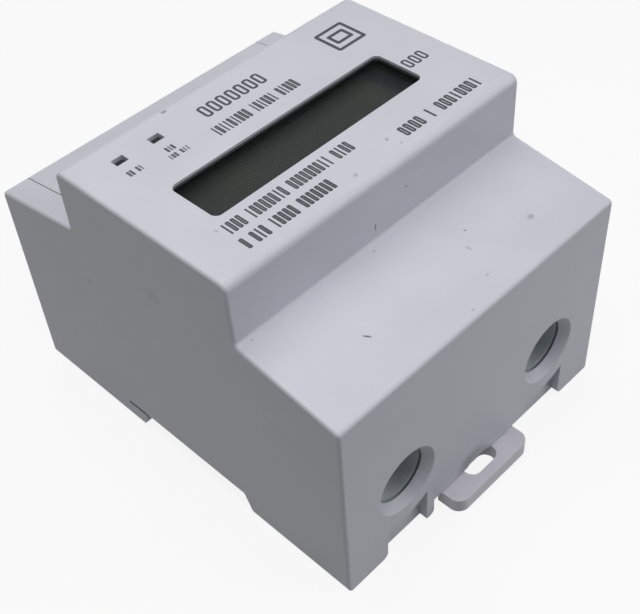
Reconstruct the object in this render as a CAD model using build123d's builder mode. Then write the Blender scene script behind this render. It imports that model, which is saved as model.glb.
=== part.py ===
"""Electronic kilowatt-hour meter for a 35 mm top-hat rail, with feed-through cable holes.

X runs along the rail, Y across it with the front face at -Y, and Z away from it.
The origin is the middle of the rail channel, in the plane that the feet stand on.
"""
import os

from build123d import *

# Housing
width = 75.0                # along the rail
depth = 92.0                # across the rail
height = 64.5               # from the feet to the top of the display block
block_depth = 45.0          # display block across the rail, the standard panel opening
shoulder_root = 50.8        # height of a shoulder where it meets the display block
shoulder_edge = 46.9        # height of a shoulder at the front and rear faces
wall = 2.0
block_edge_radius = 1.8
shoulder_edge_radius = 1.0
root_radius = 0.8
end_edge_radius = 0.7
foot_edge_radius = 1.2      # lower edges of the end faces

# Rail channel
rail_width = 35.0
rail_gap = 0.1              # free play between the rail's edge and the bottom of the hook
seat_height = 5.25          # rail seat above the feet
hook_reach = 5.4            # how far the hook laps over the rail
hook_slot = 1.3             # height of the slot that takes the rail's flange
hook_radius = 3.5           # rounded underside of the hook's tip
hook_edge_radius = 0.3
channel_heel = 2.8          # channel's front wall at the feet, beyond the rail's edge
channel_toe = 0.6           # channel's front wall at the seat, beyond the rail's edge
heel_radius = 2.0
toe_radius = 0.8

# Cable holes in the front and rear faces
cable_inset = 16.4          # a hole's centre from the end face beside it
cable_height = 18.3
mouth_radius = 7.5
throat_radius = 6.05
tube_bore_radius = 5.6
tube_wall = 1.0
tube_flange = 1.0           # how far the flange at each end of a tube stands out
tube_flange_length = 1.2
tube_set_back = 0.5         # from the inside of the wall to the end of a tube
pocket_width = 11.3         # recess below each front hole
pocket_depth = 1.85
collar_radius = 10.6        # flush ring round the hole, above the recess
clip_gap_height = 4.2       # opening in the front wall above the clip
clip_rib = 2.05             # rib between the left-hand recess and that opening
clip_rib_radius = 1.2
foot_corner_radius = 1.4    # feet beside the recesses
notch_length = 9.0          # scoop for a screwdriver above the clip's slot
notch_height = 2.0
notch_depth = 1.1

# Display window and indicator openings, in the top of the block
window_inset = 11.1         # mean distance of the window's ends from the end faces
window_width = 12.15
window_x = -0.8
window_y = -3.1
window_corner = 1.5
pane_set_back = 1.0
pane_flange = 1.8
pane_thickness = 1.0        # of the flange glued under the block's top
glaze_gap = 0.12
indicator_length = 2.65
indicator_width = 2.05
indicator_inset = 6.95      # from the rear face of the block
indicator_set_back = 1.2
indicator_pitch = 8.35
comms_inset = 9.55          # outer indicator from the end face
pipe_length = 2.5           # light pipe below its flange

# Terminal cover and what it closes
cover_cheek = 5.8           # end cheek beside the cover
cover_gap = 0.2
cover_rib_x = 12.0
cover_rib_thickness = 1.6
cover_rib_inset = 3.0       # ribs from the cover's front edge
block_height = 9.7          # terminal block
block_end_gap = 1.4         # its ends inside the cover's
block_front_gap = 1.0       # its front behind the display block's rear face
deck_clearance = 0.1        # terminal block's top below the cover's lower edge
pocket_floor = 1.6          # floor and walls of the terminal block's pockets
tap_inset = 7.2             # tap screws from the rear face
tap_plate_lift = 3.3        # tap plate above the cable tube
deck_rib_x = 9.0            # ribs under the terminal block
deck_rib_inset = 8.5        # their front edge from the rear face
tap_screw_radius = 1.95
tap_head_radius = 3.4
tap_head_height = 2.6
tap_well_radius = 4.0
tap_well_depth = 6.0
tap_lift = 1.0              # screw heads above the wells' floor
tap_plate_length = 8.4
tap_plate_width = 9.0
tap_plate_thickness = 2.0
tap_strap_width = 4.0
tap_strap_thickness = 1.0
tap_strap_inset = 3.5       # strap's end from the main board's rear edge
tip_clearance = 0.3         # between a tap screw's tip and the tube's bore
clamp_height = 8.2          # neutral clamp
clamp_width = 8.4
clamp_length = 9.6
clamp_bore_radius = 2.6
clamp_bore_lift = 3.6       # bore above the clamp's underside
clamp_floor = 1.0
clamp_set_back = 0.7        # from the inside of the rear wall
clamp_corner = 0.6
entry_radius = 3.2
neutral_screw_radius = 1.45
neutral_head_radius = 2.6
neutral_head_height = 1.8
neutral_lift = 1.0          # head above the clamp with no cable in it
tail_width = 4.0
tail_thickness = 0.8
tail_level = 2.4            # level stretch of the tail in front of the clamp
tail_slope = 3.6            # length over which it changes height
tail_overlap = 3.0          # on the main board

# Base
fit_gap = 0.2               # between the base and the housing's walls
floor = 2.4
seat_thickness = 2.0
pad_height = 4.2
pad_size = 6.1
saddle_drop = 2.3           # saddle's top below the tube's axis
saddle_thickness = 3.0
saddle_inset = 17.5         # from the front and rear faces
saddle_gap = 0.15
case_screw_inset = 5.2      # from the end, front and rear faces
case_boss_radius = 3.5
case_screw_length = 13.0
screw_radius = 1.45
screw_head_radius = 2.7
screw_head_height = 1.7
screw_gap = 0.05            # between a screw's shank and the hole it bites into
screw_passage = 0.25        # between a screw's shank and the hole it passes
screw_sink = 0.4            # head below the feet's plane
cross_arms = (0.6, 0.15)    # half length and half width of a driver's slot, as shares of the head's radius

# Sliding clip
clip_side_gap = 2.4         # clip's sides inside the opening in the front wall
clip_bottom = 0.65
clip_thickness = 3.3
clip_reach = 4.6            # tab in front of the front face
clip_lap = 1.5              # nose under the rail
clip_travel = 4.0
clip_gap = 0.2
clip_heel_gap = 1.2         # full-height tab in front of the ledges
clip_step = 2.0             # width of the ledges that carry the clip
clip_corner = 2.5
clip_slot_length = 8.4
clip_slot_width = 4.1
clip_slot_lead = 0.3        # slot's centre in front of the front face
nose_ramp_length = 2.4
nose_ramp_height = 1.6
peg_inset = 9.0             # from the front face
peg_length = 2.0
peg_width = 3.0
spring_length = 11.0
spring_radius = 1.15        # to the middle of the wire
spring_wire = 0.22
spring_turns = 7
spring_sides = 6
spring_pin_radius = 0.7     # pin inside the spring, which ends the clip's travel
pin_gap = 0.05

# Circuit boards
board_thickness = 1.6
board_corner = 1.0
main_board_front_gap = 3.5  # from the front face
main_board_rear_gap = 2.0   # from the rear face of the display block
board_side_gap = 0.7
display_board_drop = 8.9    # its underside below the inside of the block's top
display_board_gap = 0.9     # from the inside of the block's faces
board_screw_radius = 0.95
board_screw_head_radius = 1.9
board_screw_head_height = 1.3
board_screw_length = 7.0
board_boss_radius = 2.6
main_boss_inset = 4.5       # from the end faces, and from the board's rear edge
main_boss_front_inset = 6.5
main_boss_skin = 2.0        # boss above the end of its screw's hole
display_boss_inset = 5.3    # from the end faces
display_boss_front_inset = 4.6
display_boss_rear_inset = 10.6
display_boss_radius = 2.2

# Parts on the main board; insets along the rail are from the end faces, headroom is under the display board
film_inset = 20.5
film_rear_inset = 19.25     # from the main board's rear edge
film_length = 18.0
film_thickness = 8.5
film_headroom = 5.0
film_corner = 0.8
can_inset = 11.5
can_front_inset = 10.5      # first can from the display block's front face
can_pitch = 13.0
can_radius = 5.0
can_headroom = 4.0
can_groove_height = 2.2
can_groove_width = 0.6
can_groove_depth = 0.3
can_edge = 0.5
varistor_inset = 16.5
varistor_rear_inset = 10.0
varistor_thickness = 4.6
varistor_headroom = 3.0
varistor_edge = 1.3
varistor_lead_pitch = 5.0
varistor_lead_radius = 0.4
varistor_lead_length = 1.6
bobbin_x = -6.5
bobbin_rear_inset = 16.5
bobbin_width = 13.0
bobbin_foot = 3.0
bobbin_headroom = 3.6
winding_radius = 4.6
core_depth = 6.4
core_leg = 2.4
chip_row_inset = 10.5       # chips and crystal from the main board's front edge
meter_chip_x = 14.0
meter_chip_size = (15.4, 7.5, 2.3)
meter_chip_pins = 12
meter_chip_pitch = 1.27
control_chip_x = -8.0
control_chip_size = (10.0, 10.0, 1.4)
control_chip_pins = 12
control_chip_pitch = 0.8
chip_leg_length = 1.0
chip_leg_share = 0.45       # leg's width as a share of the pitch
chip_leg_thickness = 0.35
chip_stand_off = 0.15
chip_edge = 0.2
crystal_x = -18.5
crystal_length = 10.0
crystal_width = 3.8
crystal_height = 3.5
crystal_rim = 0.4
crystal_rim_height = 0.5
header_inset = 2.6          # from the display board's front edge
header_pins = 8
header_pitch = 2.54
header_body = 2.5
header_pin = 0.64

# Lamps and display
lamp_radius, lamp_rim, lamp_rim_height, lamp_gap = 1.5, 0.4, 1.0, 0.3
lcd_border_x, lcd_border_y = 0.6, 1.4
lcd_thickness = 2.6
lcd_gap = 0.15
lcd_edge = 0.5
frame_wall = 1.6
frame_ledge = 1.5

# Current transformers
ct_seat_gap = 0.05          # above the plate over the rail
ct_gap = 0.3
ct_length = 10.0
ct_y = -7.0
ct_edge = 1.0
ct_foot_width = 9.0
ct_foot_length = 7.0
ct_foot_height = 2.7        # from the ring to the main board

# Worked out from the sizes above
half_width = width / 2
half_depth = depth / 2
half_block = block_depth / 2
roof = height - wall
rail_half = rail_width / 2
slot_end = rail_half + rail_gap
hook_top = seat_height - hook_slot
hook_tip = slot_end - hook_reach
clip_top = clip_bottom + clip_thickness
clip_ledge = clip_bottom + clip_thickness / 2
clip_front = -half_depth - clip_reach
clip_nose = -rail_half + clip_lap
cable_x = (cable_inset - half_width, half_width - cable_inset)
clip_gap_left = cable_x[1] - pocket_width / 2 - clip_rib
clip_width = 2 * (clip_gap_left - clip_side_gap)
clip_slot_y = -half_depth - clip_slot_lead
peg_y = -half_depth + peg_inset
spring_end = peg_y + peg_length / 2 + spring_length
ct_radius = cable_height - seat_height - seat_thickness - ct_seat_gap
main_board_height = cable_height + ct_radius + ct_foot_height
main_board_top = main_board_height + board_thickness
main_board_front = -half_depth + main_board_front_gap
main_board_rear = half_block - main_board_rear_gap
main_boss_top = main_board_height + board_screw_length + main_boss_skin
display_board_height = roof - display_board_drop
display_board_top = display_board_height + board_thickness
display_board_rear = half_block - wall - display_board_gap
board_space = display_board_height - main_board_top
window_length = width - 2 * window_inset
indicator_y = half_block - indicator_inset
comms_x = -half_width + comms_inset
pulse_x = comms_x + indicator_pitch
tube_radius = tube_bore_radius + tube_wall
tap_y = half_depth - tap_inset
tap_plate_low = cable_height + tube_radius + tap_plate_lift
block_underside = tap_plate_low + tap_plate_thickness
deck_height = block_underside + block_height
cover_low = deck_height + deck_clearance
cover_width = width - 2 * cover_cheek
block_width = cover_width - 2 * block_end_gap
block_front = half_block + block_front_gap
clamp_low = block_underside + clamp_floor
clamp_rear = half_depth - wall - clamp_set_back
clamp_front = clamp_rear - clamp_length
clamp_bore_height = clamp_low + clamp_bore_lift
tube_end = half_depth - wall - tube_set_back
base_half_width = half_width - wall - fit_gap
base_half_depth = half_depth - wall - fit_gap

# Screws, each as (along the rail, across it)
screw_x, screw_y = half_width - case_screw_inset, half_depth - case_screw_inset
corners = [(x, y) for x in (-screw_x, screw_x) for y in (-screw_y, screw_y)]
boss_x = half_width - main_boss_inset
boss_y = (main_board_front + main_boss_front_inset, main_board_rear - main_boss_inset)
main_bosses = [(x, y) for x in (-boss_x, boss_x) for y in boss_y]
high_x = half_width - display_boss_inset
high_y = (display_boss_front_inset - display_board_rear, display_board_rear - display_boss_rear_inset)
display_bosses = [(x, y) for x in (-high_x, high_x) for y in high_y]

# Line of the feet and the rail channel from front to rear, as (across, up, corner radius)
foot_line = [
    (-rail_half - channel_heel, 0, heel_radius),
    (-rail_half - channel_toe, seat_height, toe_radius),
    (slot_end, seat_height, 0),
    (slot_end, hook_top, 0),
    (hook_tip, hook_top, hook_edge_radius),
    (hook_tip, 0, hook_radius),
]


def side_profile(points):
    """Closed outline seen along the rail, from (across, up, corner radius) points."""
    with BuildLine() as outline:
        FilletPolyline(*[p[:2] for p in points], radius=[p[2] for p in points], close=True)
    return outline.line


def span(low, high):
    """Centre and length of the stretch between two coordinates."""
    return (low + high) / 2, high - low


def slab(x, y, z, mode=Mode.ADD):
    """Square-edged block between pairs of coordinates."""
    (cx, lx), (cy, ly), (cz, lz) = span(*x), span(*y), span(*z)
    with Locations((cx, cy, cz)):
        Box(lx, ly, lz, mode=mode)


def rod(x, y, radius, z, mode=Mode.ADD):
    """Upright cylinder between two heights."""
    with Locations((x, y, span(*z)[0])):
        Cylinder(radius, span(*z)[1], mode=mode)


def shoulder(y, inset=0.0):
    """Height of the shoulder's surface at a distance across the rail."""
    rise = (shoulder_root - shoulder_edge) / (half_depth - half_block)
    return shoulder_edge + rise * (half_depth - abs(y)) - inset


def pocket_shape(x, spread, radius):
    """Recess below a front hole: a strip up from the feet, cut short by a ring round the hole."""
    with BuildSketch(Plane.XZ) as shape:
        with Locations((x, cable_height / 2)):
            Rectangle(pocket_width + 2 * spread, cable_height)
        with Locations((x, cable_height)):
            Circle(radius, mode=Mode.SUBTRACT)
    return shape.sketch


# Housing: the moulded shell, open below
with BuildPart() as housing:
    with BuildSketch(Plane.YZ.offset(-half_width)):
        add(side_profile(
            [(-half_depth, 0, 0)] + foot_line + [
                (half_depth, 0, 0),
                (half_depth, shoulder_edge, shoulder_edge_radius),
                (half_block, shoulder_root, root_radius),
                (half_block, height, block_edge_radius),
                (-half_block, height, block_edge_radius),
                (-half_block, shoulder_root, root_radius),
                (-half_depth, shoulder_edge, shoulder_edge_radius),
            ]))
        make_face()
    extrude(amount=width)
    ends = housing.faces().filter_by(Axis.X).sort_by(Axis.X)
    rim = (ends[0].edges() + ends[-1].edges()).filter_by(lambda edge: edge.center().Z > seat_height)
    fillet(rim, end_edge_radius)

    # Cavity, one wall inside the outline
    with BuildSketch(Plane.YZ.offset(-half_width + wall)):
        inner = half_depth - wall
        with BuildLine():
            Polyline(
                (-inner, -wall), (-inner, shoulder_edge - wall), (-half_block + wall, shoulder_root - wall),
                (-half_block + wall, roof), (half_block - wall, roof),
                (half_block - wall, shoulder_root - wall), (inner, shoulder_edge - wall), (inner, -wall),
                close=True)
        make_face()
    extrude(amount=width - 2 * wall, mode=Mode.SUBTRACT)

    # Recesses below the front holes, each with its own back wall
    for x in cable_x:
        add(extrude(pocket_shape(x, wall, collar_radius - wall / 2).moved(Location((0, -inner, 0))),
                    amount=-pocket_depth, mode=Mode.PRIVATE))
        add(extrude(pocket_shape(x, 0, collar_radius).moved(Location((0, -half_depth, 0))),
                    amount=-pocket_depth, mode=Mode.PRIVATE), mode=Mode.SUBTRACT)

    # Coned cable holes in both faces
    for x in cable_x:
        for face, turn in ((-1, 90), (1, -90)):
            with Locations(Location((x, face * (half_depth - wall / 2), cable_height), (turn, 0, 0))):
                Cone(throat_radius, mouth_radius, wall, mode=Mode.SUBTRACT)

    # Opening above the clip, which runs into the right-hand recess, with the rib's corner rounded
    with BuildSketch(Plane.XZ.offset(half_depth + wall)) as gap_outline:
        gap_right = cable_x[1] - pocket_width / 2
        with Locations((span(-clip_gap_left, gap_right)[0], (clip_gap_height - wall) / 2)):
            Rectangle(clip_gap_left + gap_right, clip_gap_height + wall)
        with Locations((-clip_gap_left - clip_rib_radius / 2, (clip_rib_radius - wall) / 2)):
            Rectangle(clip_rib_radius, clip_rib_radius + wall)
        with Locations((-clip_gap_left - clip_rib_radius, clip_rib_radius)):
            Circle(clip_rib_radius, mode=Mode.SUBTRACT)
    extrude(gap_outline.sketch, amount=-2 * wall - pocket_depth - fit_gap, mode=Mode.SUBTRACT)

    # Scoop in the front wall over the clip's slot
    notch_radius = (notch_length ** 2 / 4 + notch_depth ** 2) / (2 * notch_depth)
    with Locations((0, -half_depth - notch_radius + notch_depth, clip_gap_height)):
        Cone(notch_radius, notch_radius - notch_depth, 2 * notch_height, mode=Mode.SUBTRACT)

    # Rounded lower corners of the feet beside the recesses
    lower = housing.edges().filter_by(Axis.Y).filter_by_position(Axis.Z, -0.01, 0.01)
    lower = lower.filter_by_position(Axis.Y, -half_depth, -inner)
    outer_side = cable_x[1] + pocket_width / 2
    outer = lower.filter_by(lambda edge: abs(abs(edge.center().X) - outer_side) < wall / 2)
    fillet(outer, foot_corner_radius)

    # Display window and indicator openings
    with BuildSketch(Plane.XY.offset(height)):
        with Locations((window_x, window_y)):
            RectangleRounded(window_length, window_width, window_corner)
        with Locations((pulse_x, indicator_y), (comms_x, indicator_y)):
            Rectangle(indicator_length, indicator_width)
    extrude(amount=-wall, mode=Mode.SUBTRACT)

    # Rear opening that the terminal cover closes, and the neutral cable's hole
    slab((-cover_width / 2, cover_width / 2), (half_block, half_depth + wall),
         (cover_low, max(shoulder_root, shoulder_edge) + wall), mode=Mode.SUBTRACT)
    with Locations(Location((0, half_depth - wall / 2, clamp_bore_height), (90, 0, 0))):
        Cylinder(entry_radius, 2 * wall, mode=Mode.SUBTRACT)

    # Rounded lower edges of the end faces
    with BuildSketch(Plane.XZ.offset(half_depth)):
        with Locations((0, height)):
            RectangleRounded(width, 2 * height, foot_edge_radius)
    extrude(amount=-depth, mode=Mode.INTERSECT)

    # Bosses for the case screws, joined to the walls, and ribs under the terminal block
    case_hole_end = screw_sink + screw_head_height + case_screw_length + wall / 2
    for x, y in corners:
        rod(x, y, case_boss_radius, (pad_height, block_underside))
        rod(x, y, screw_radius + screw_gap, (pad_height, case_hole_end), mode=Mode.SUBTRACT)
    for x in (-deck_rib_x, deck_rib_x):
        slab((x - wall / 2, x + wall / 2), (half_depth - deck_rib_inset, half_depth - wall / 2),
             (clamp_bore_height / 2, block_underside))

    # Bosses for the boards, those of the main board with a web to the side wall
    for x, y in main_bosses:
        side = 1 if x > 0 else -1
        rod(x, y, board_boss_radius, (main_board_top, main_boss_top))
        slab(sorted((x, side * (half_width - wall / 2))), (y - wall / 2, y + wall / 2),
             (main_board_top, main_boss_top))
        rod(x, y, board_screw_radius + screw_gap, (main_board_top, main_board_height + board_screw_length),
            mode=Mode.SUBTRACT)
    for x, y in display_bosses:
        rod(x, y, display_boss_radius, (display_board_top, roof + wall / 2))
        rod(x, y, board_screw_radius + screw_gap,
            (display_board_top, display_board_height + board_screw_length), mode=Mode.SUBTRACT)


# Base: closes the housing from below and holds the rail
with BuildPart() as base:
    with BuildSketch(Plane.YZ.offset(-base_half_width)):
        heel = -rail_half - channel_heel
        add(side_profile(
            [(-base_half_depth, 0, 0)] + foot_line + [
                (base_half_depth, 0, 0),
                (base_half_depth, floor, 0),
                (slot_end + seat_thickness, floor, 0),
                (slot_end + seat_thickness, seat_height + seat_thickness, 0),
                (-rail_half - channel_toe - seat_thickness, seat_height + seat_thickness, 0),
                (heel - seat_thickness, floor, 0),
                (-base_half_depth, floor, 0),
            ]))
        make_face()
    extrude(amount=2 * base_half_width)

    # Housing of the clip, with ledges that carry it
    guide = clip_width / 2 + clip_gap
    guide_run = (-half_depth, -rail_half)
    slab((-clip_gap_left + fit_gap, clip_gap_left - fit_gap), (-base_half_depth, -rail_half - channel_toe),
         (0, clip_top + clip_gap + seat_thickness))
    slab((-guide, guide), guide_run, (clip_ledge - clip_gap, clip_top + clip_gap), mode=Mode.SUBTRACT)
    slab((-guide + clip_step, guide - clip_step), guide_run, (-wall, clip_top), mode=Mode.SUBTRACT)
    slab((-peg_width / 2, peg_width / 2), (peg_y - peg_length / 2, peg_y + peg_length / 2),
         (clip_bottom + clip_gap, clip_top + 2 * clip_gap))

    # Room for the back walls of the recesses
    for x in cable_x:
        reach = pocket_width / 2 + wall + fit_gap
        slab((x - reach, x + reach), (-half_depth, -half_depth + wall + pocket_depth + fit_gap),
             (-wall, seat_height), mode=Mode.SUBTRACT)

    # Saddles under the cable tubes
    for x in cable_x:
        reach = tube_radius + wall / 2
        for y in (saddle_inset - half_depth, half_depth - saddle_inset):
            slab((x - reach, x + reach), (y - saddle_thickness / 2, y + saddle_thickness / 2),
                 (floor / 2, cable_height - saddle_drop))
        with Locations(Location((x, 0, cable_height), (90, 0, 0))):
            Cylinder(tube_radius + saddle_gap, depth, mode=Mode.SUBTRACT)

    # Pads for the case screws, sunk from below
    for x, y in corners:
        side, face = (1 if x > 0 else -1), (1 if y > 0 else -1)
        slab(sorted((side * base_half_width, side * (base_half_width - pad_size))),
             sorted((face * base_half_depth, face * (base_half_depth - pad_size))), (0, pad_height))
        rod(x, y, screw_radius + screw_passage, (-wall, pad_height + wall), mode=Mode.SUBTRACT)
        rod(x, y, screw_head_radius + screw_passage, (-wall, screw_sink + screw_head_height),
            mode=Mode.SUBTRACT)


# Terminal cover: the rear shoulder between the end cheeks, with a flange down the rear face
with BuildPart() as terminal_cover:
    front = half_block + cover_gap
    with BuildSketch(Plane.YZ.offset(-cover_width / 2 + cover_gap)):
        add(side_profile([
            (half_depth, cover_low + cover_gap, 0),
            (half_depth, shoulder_edge, shoulder_edge_radius),
            (front, shoulder(front), 0),
            (front, shoulder(front, wall), 0),
            (half_depth - wall, shoulder(half_depth - wall, wall), 0),
            (half_depth - wall, cover_low + cover_gap, 0),
        ]))
        make_face()
    extrude(amount=cover_width - 2 * cover_gap)
    rib_ends = (half_block + cover_rib_inset, half_depth - wall)
    for x in (-cover_rib_x, cover_rib_x):
        with BuildSketch(Plane.YZ.offset(x - cover_rib_thickness / 2)):
            with BuildLine():
                Polyline(
                    *[(y, deck_height) for y in rib_ends],
                    *[(y, shoulder(y, wall / 2)) for y in reversed(rib_ends)], close=True)
            make_face()
        extrude(amount=cover_rib_thickness)


# Clip: slides in the base under a spring and laps under the rail's front edge
with BuildPart() as din_clip:
    slab((-clip_width / 2, clip_width / 2), (clip_front, clip_nose), (clip_bottom, clip_top))
    fillet(din_clip.edges().filter_by(Axis.Z).group_by(Axis.Y)[0], clip_corner)
    ramp = din_clip.edges().filter_by(Axis.X).group_by(Axis.Y)[-1].sort_by(Axis.Z)[0]
    chamfer(ramp, nose_ramp_height, nose_ramp_length)
    for side in (-1, 1):
        slab(sorted((side * (clip_width / 2 - clip_step), side * clip_width)),
             (-base_half_depth - clip_heel_gap, clip_nose + clip_gap), (0, clip_ledge), mode=Mode.SUBTRACT)
    with BuildSketch(Plane.XY.offset(clip_bottom)):
        with Locations((0, clip_slot_y)):
            SlotOverall(clip_slot_length, clip_slot_width)
    extrude(amount=clip_thickness, mode=Mode.SUBTRACT)
    slab((-peg_width / 2 - clip_gap, peg_width / 2 + clip_gap),
         (peg_y - peg_length / 2 - clip_gap, spring_end), (0, height), mode=Mode.SUBTRACT)
    pin_length = spring_length - clip_travel - pin_gap
    with Locations(Location((0, spring_end - pin_length / 2, clip_bottom + clip_thickness / 2), (90, 0, 0))):
        Cylinder(spring_pin_radius, pin_length)


# Spring: between the base's peg and the far end of the clip's window
with BuildPart() as clip_spring:
    coil_length = spring_length - 3 * spring_wire
    coil_start = (0, spring_end - spring_length + 1.5 * spring_wire, clip_bottom + clip_thickness / 2)
    with BuildLine() as coil:
        Helix(coil_length / spring_turns, coil_length, spring_radius, center=coil_start, direction=(0, 1, 0))
    with BuildSketch(Plane(origin=coil.line @ 0, z_dir=coil.line % 0)):
        RegularPolygon(spring_wire, spring_sides)
    sweep()


def cable_tube(x):
    """Insulating tube that a cable passes through, with a hole for its tap screw."""
    with BuildPart() as tube:
        with Locations(Location((x, 0, cable_height), (90, 0, 0))):
            Cylinder(tube_radius, 2 * tube_end)
        flange_y = tube_end - tube_flange_length / 2
        for y in (-flange_y, flange_y):
            with Locations(Location((x, y, cable_height), (90, 0, 0))):
                Cylinder(tube_radius + tube_flange, tube_flange_length)
        with Locations(Location((x, 0, cable_height), (90, 0, 0))):
            Cylinder(tube_bore_radius, depth, mode=Mode.SUBTRACT)
        rod(x, tap_y, tap_screw_radius + screw_passage, (cable_height, cable_height + 2 * tube_radius),
            mode=Mode.SUBTRACT)
    return tube


def current_transformer(x):
    """Moulded ring round a cable tube, with a foot for its leads under the main board."""
    with BuildPart() as ring:
        with Locations(Location((x, ct_y, cable_height), (90, 0, 0))):
            Cylinder(ct_radius, ct_length)
        chamfer(ring.edges().filter_by(GeomType.CIRCLE), ct_edge)
        slab((x - ct_foot_width / 2, x + ct_foot_width / 2),
             (ct_y - ct_foot_length / 2, ct_y + ct_foot_length / 2),
             (cable_height + ct_radius - ct_edge, main_board_height))
        with Locations(Location((x, ct_y, cable_height), (90, 0, 0))):
            Cylinder(tube_radius + ct_gap, 2 * ct_length, mode=Mode.SUBTRACT)
    return ring


def tap_plate(x):
    """Threaded plate under the terminal block, with a strap up to the main board."""
    low, top = tap_plate_low, block_underside
    strap_front = main_board_rear - tap_strap_inset
    strap_rear = strap_front + tap_strap_thickness
    with BuildPart() as plate:
        slab((x - tap_plate_width / 2, x + tap_plate_width / 2),
             (tap_y - tap_plate_length / 2, tap_y + tap_plate_length / 2), (low, top))
        with BuildSketch(Plane.YZ.offset(x - tap_strap_width / 2)):
            with BuildLine():
                Polyline(
                    (tap_y, low), (strap_front, low), (strap_front, main_board_height),
                    (strap_rear, main_board_height), (strap_rear, low + tap_strap_thickness),
                    (tap_y, low + tap_strap_thickness), close=True)
            make_face()
        extrude(amount=tap_strap_width)
        rod(x, tap_y, tap_screw_radius + screw_gap, (low, top), mode=Mode.SUBTRACT)
    return plate


def slotted_screw(head_bottom, head_radius, head_height, shank_radius, tip):
    """Slotted pan-head screw on the Z axis, with a blunt cone at its tip."""
    with BuildPart() as screw:
        rod(0, 0, head_radius, (head_bottom, head_bottom + head_height))
        chamfer(screw.faces().sort_by(Axis.Z)[-1].edges(), head_height / 4)
        rod(0, 0, shank_radius, (tip, head_bottom))
        chamfer(screw.faces().sort_by(Axis.Z)[0].edges(), shank_radius / 2)
        slab((-head_radius, head_radius), (-head_radius / 6, head_radius / 6),
             (head_bottom + head_height / 2, head_bottom + head_height), mode=Mode.SUBTRACT)
    return screw.part


cable_tube_left, cable_tube_right = (cable_tube(x) for x in cable_x)
current_transformer_left, current_transformer_right = (current_transformer(x) for x in cable_x)
tap_plate_left, tap_plate_right = (tap_plate(x) for x in cable_x)

tap_screw = slotted_screw(deck_height - tap_well_depth + tap_lift, tap_head_radius, tap_head_height,
                          tap_screw_radius, cable_height + tube_bore_radius + tip_clearance)
with BuildPart() as tap_screws:
    with Locations(*[(x, tap_y) for x in cable_x]):
        add(tap_screw)

# Neutral clamp: a brass cage with a tail onto the main board, and its screw
clamp_middle = (clamp_front + clamp_rear) / 2
with BuildPart() as neutral_clamp:
    slab((-clamp_width / 2, clamp_width / 2), (clamp_front, clamp_rear),
         (clamp_low, clamp_low + clamp_height))
    fillet(neutral_clamp.edges().filter_by(Axis.Y), clamp_corner)
    with Locations(Location((0, clamp_middle, clamp_bore_height), (90, 0, 0))):
        Cylinder(clamp_bore_radius, 2 * clamp_length, mode=Mode.SUBTRACT)
    rod(0, clamp_middle, neutral_screw_radius + screw_gap, (clamp_bore_height, height), mode=Mode.SUBTRACT)
    with BuildSketch(Plane.YZ.offset(-tail_width / 2)):
        tail_line = [
            (clamp_front + clamp_floor, clamp_low), (clamp_front - tail_level, clamp_low),
            (clamp_front - tail_level - tail_slope, main_board_top),
            (main_board_rear - tail_overlap, main_board_top)]
        with BuildLine():
            Polyline(*tail_line, *[(y, z + tail_thickness) for y, z in reversed(tail_line)], close=True)
        make_face()
    extrude(amount=tail_width)

clamp_screw = slotted_screw(clamp_low + clamp_height + neutral_lift, neutral_head_radius, neutral_head_height,
                            neutral_screw_radius, clamp_bore_height + clamp_bore_radius + pin_gap)
with BuildPart() as neutral_screw:
    with Locations((0, clamp_middle)):
        add(clamp_screw)

# Terminal block: stands on the rear bosses and ribs, with wells for the screws
with BuildPart() as terminal_block:
    slab((-block_width / 2, block_width / 2), (block_front, half_depth - wall - 2 * cover_gap),
         (block_underside, deck_height))
    for x in cable_x:
        rod(x, tap_y, tap_well_radius, (deck_height - tap_well_depth, deck_height), mode=Mode.SUBTRACT)
        rod(x, tap_y, tap_screw_radius + screw_passage, (block_underside, deck_height), mode=Mode.SUBTRACT)
    slab((-clamp_width / 2 - cover_gap, clamp_width / 2 + cover_gap),
         (clamp_front - cover_gap, half_depth), (clamp_low, deck_height), mode=Mode.SUBTRACT)
    slab((-tail_width / 2 - cover_gap, tail_width / 2 + cover_gap), (block_front, clamp_front),
         (clamp_low, deck_height), mode=Mode.SUBTRACT)
    for side in (-1, 1):
        slab(sorted((side * (clamp_width / 2 + pocket_floor), side * (block_width / 2 - pocket_floor))),
             (block_front + pocket_floor, tap_y - tap_well_radius - pocket_floor),
             (block_underside + pocket_floor, deck_height), mode=Mode.SUBTRACT)

# Display window pane and light pipes: flanges glued under the block's top
with BuildPart() as window_pane:
    with BuildSketch(Plane.XY.offset(roof - pane_thickness)):
        with Locations((window_x, window_y)):
            RectangleRounded(window_length + 2 * pane_flange, window_width + 2 * pane_flange, window_corner)
    extrude(amount=pane_thickness)
    with BuildSketch(Plane.XY.offset(roof)):
        with Locations((window_x, window_y)):
            RectangleRounded(window_length - 2 * glaze_gap, window_width - 2 * glaze_gap,
                             window_corner - glaze_gap)
    extrude(amount=wall - pane_set_back)


def light_pipe(x):
    """Clear peg in an indicator opening, down to the lamp on the display board."""
    with BuildPart() as pipe:
        with Locations((x, indicator_y, roof - pane_thickness / 2)):
            Box(indicator_length + 2 * pane_thickness, indicator_width + 2 * pane_thickness, pane_thickness)
        with Locations((x, indicator_y, roof + (wall - indicator_set_back) / 2)):
            Box(indicator_length - 2 * glaze_gap, indicator_width - 2 * glaze_gap, wall - indicator_set_back)
        with Locations((x, indicator_y, roof - pane_thickness - pipe_length / 2)):
            Box(indicator_length, indicator_width, pipe_length)
    return pipe


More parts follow.
